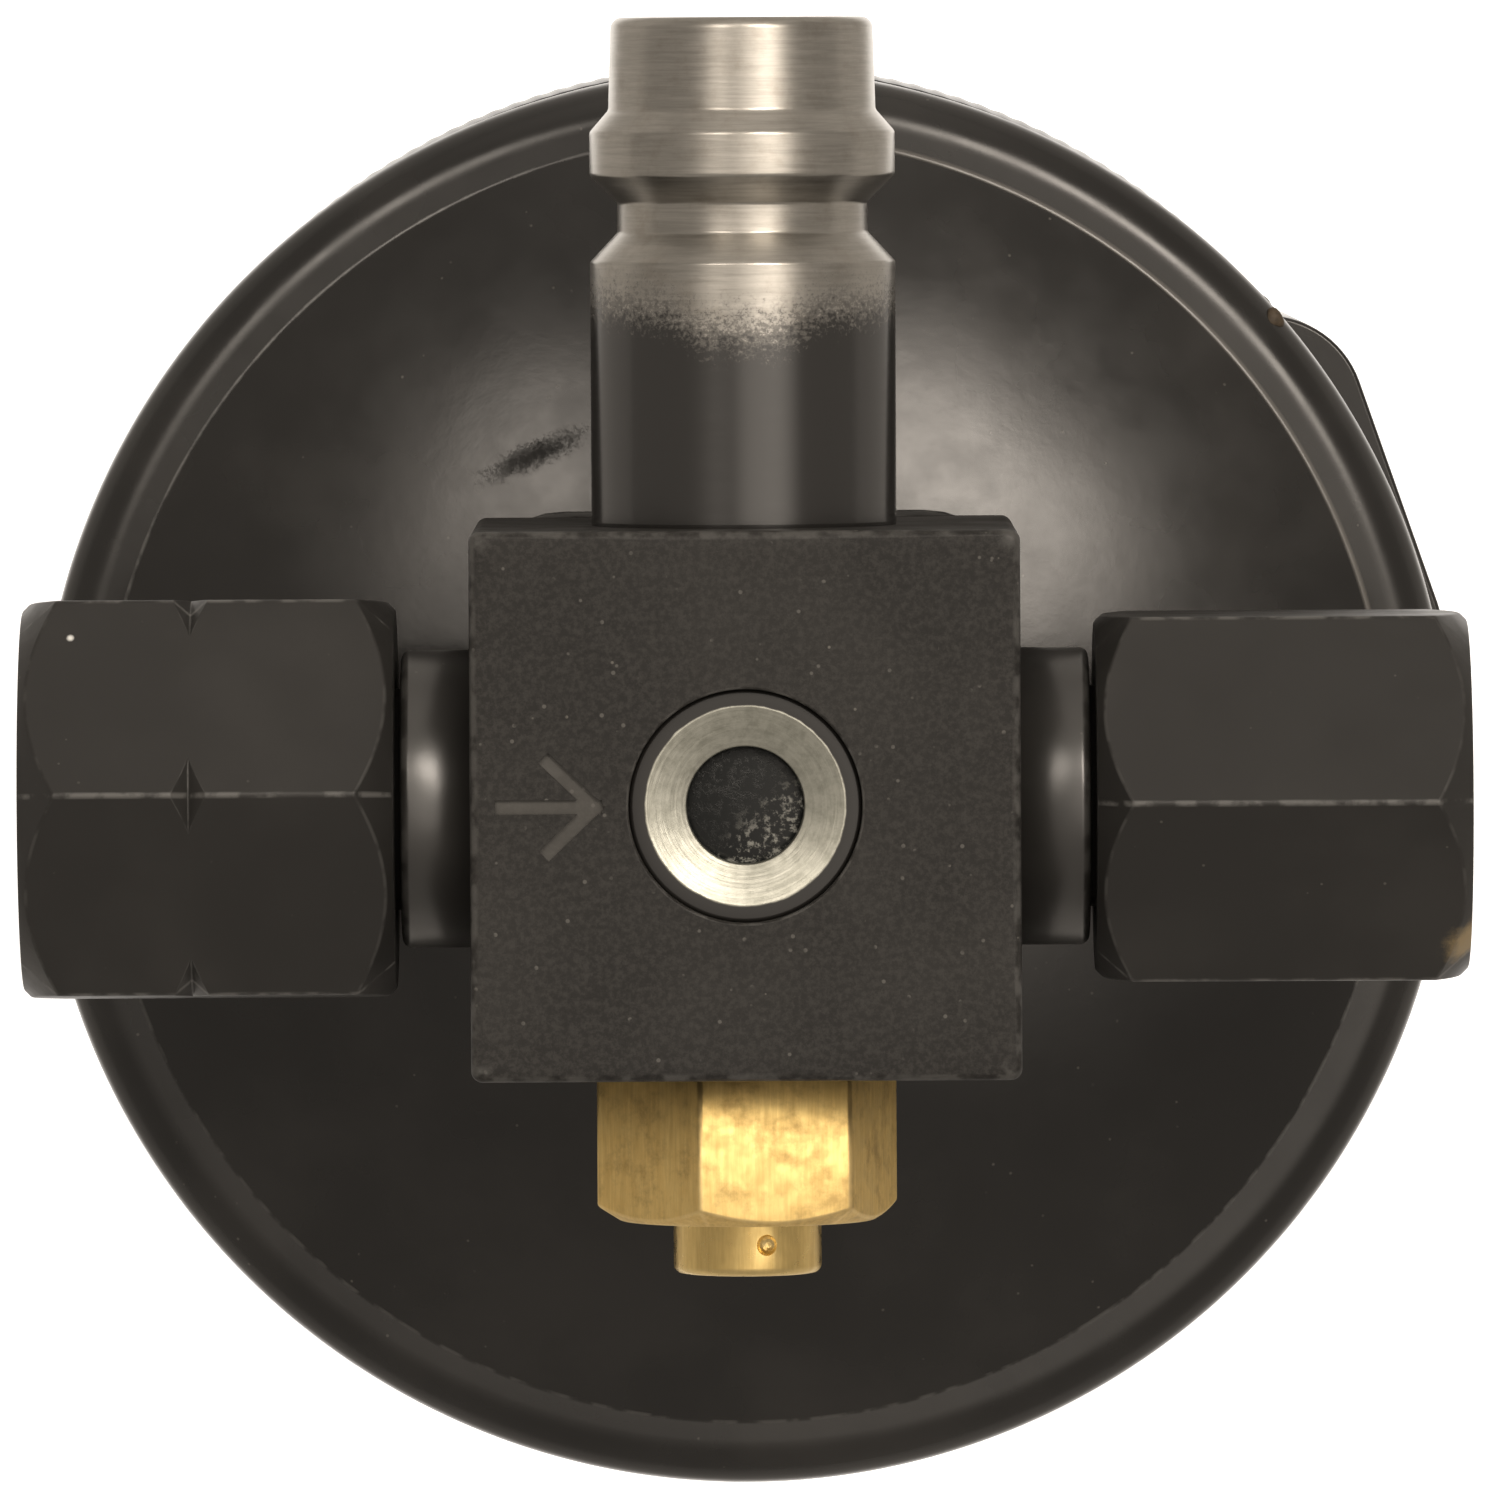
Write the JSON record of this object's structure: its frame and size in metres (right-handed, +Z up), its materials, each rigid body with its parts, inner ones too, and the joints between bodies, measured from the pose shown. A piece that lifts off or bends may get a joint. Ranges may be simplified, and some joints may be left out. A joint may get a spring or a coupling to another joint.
{
  "type": "receiver drier",
  "caption": "Vehicle air-conditioning receiver drier: a domed steel can with a head block that carries swivel nuts, a service port, a relief valve and a sight glass.",
  "frame": {"origin": "centre of the can's flat bottom", "axes": "+Z up along the can's axis, -X towards the inlet nut, +X towards the outlet nut, +Y along the service port"},
  "size_m": [0.079, 0.0793, 0.2288],
  "materials": {
    "can_paint": "satin black enamel",
    "block_paint": "satin black enamel over machined steel",
    "nut_coating": "satin black coating over steel",
    "port_steel": "turned bare steel, overspray on the barrel",
    "valve_brass": "turned brass",
    "core_brass": "turned brass",
    "plated_steel": "bright zinc plate",
    "sight_glass": "clear fused glass",
    "seal_rubber": "matt elastomer",
    "seal_green": "matt refrigerant elastomer",
    "spring_steel": "drawn wire",
    "tube_steel": "drawn tube",
    "sheet_steel": "pressed sheet",
    "screen_steel": "woven wire",
    "felt": "pressed fibre",
    "desiccant": "sintered beads"
  },
  "bodies": {
    "drier": {"canister_body": "can_paint", "top_cap": "can_paint", "girth_weld": "can_paint", "index_bracket": "can_paint", "bracket_welds": "can_paint", "head_block": "block_paint", "head_braze": "can_paint", "inlet_stub": "block_paint", "inlet_o_ring": "seal_green", "outlet_stub": "block_paint", "outlet_o_ring": "seal_green", "service_port_body": "port_steel", "service_port_gasket": "seal_rubber", "valve_core_body": "core_brass", "valve_core_seal": "seal_rubber", "valve_core_spring": "spring_steel", "relief_body": "valve_brass", "relief_o_ring": "seal_green", "relief_spring": "spring_steel", "relief_adjuster": "valve_brass", "sight_glass_ring": "plated_steel", "sight_glass_lens": "sight_glass", "sight_glass_o_ring": "seal_green", "pickup_tube": "tube_steel", "pickup_strainer": "screen_steel", "lower_plate": "sheet_steel", "lower_felt": "felt", "desiccant_bed": "desiccant", "upper_felt": "felt", "upper_plate": "sheet_steel", "bed_spring": "spring_steel"},
    "inlet_nut": {"inlet_nut": "nut_coating"},
    "outlet_nut": {"outlet_nut": "nut_coating"},
    "valve_pin": {"valve_core_pin": "plated_steel", "valve_pin_seal": "seal_rubber"},
    "relief_poppet": {"relief_poppet": "core_brass", "relief_poppet_seal": "seal_rubber"}
  },
  "joints": [
    {"name": "inlet_nut_spin", "type": "hinge", "parent": "drier", "child": "inlet_nut", "pos_m": [-0.02825, 0, 0.2169], "axis": [-1, 0, 0], "continuous": true},
    {"name": "outlet_nut_spin", "type": "hinge", "parent": "drier", "child": "outlet_nut", "pos_m": [0.02825, 0, 0.2169], "axis": [1, 0, 0], "continuous": true},
    {"name": "valve_pin_press", "type": "slide", "parent": "drier", "child": "valve_pin", "axis": [0, -1, 0], "range_m": [0, 0.0016], "stiffness_N_per_m": 1500, "springref_m": -0.002, "deforming": ["valve_core_spring"]},
    {"name": "relief_lift", "type": "slide", "parent": "drier", "child": "relief_poppet", "axis": [0, -1, 0], "range_m": [0, 0.001], "stiffness_N_per_m": 12000, "springref_m": -0.002, "deforming": ["relief_spring"]}
  ]
}
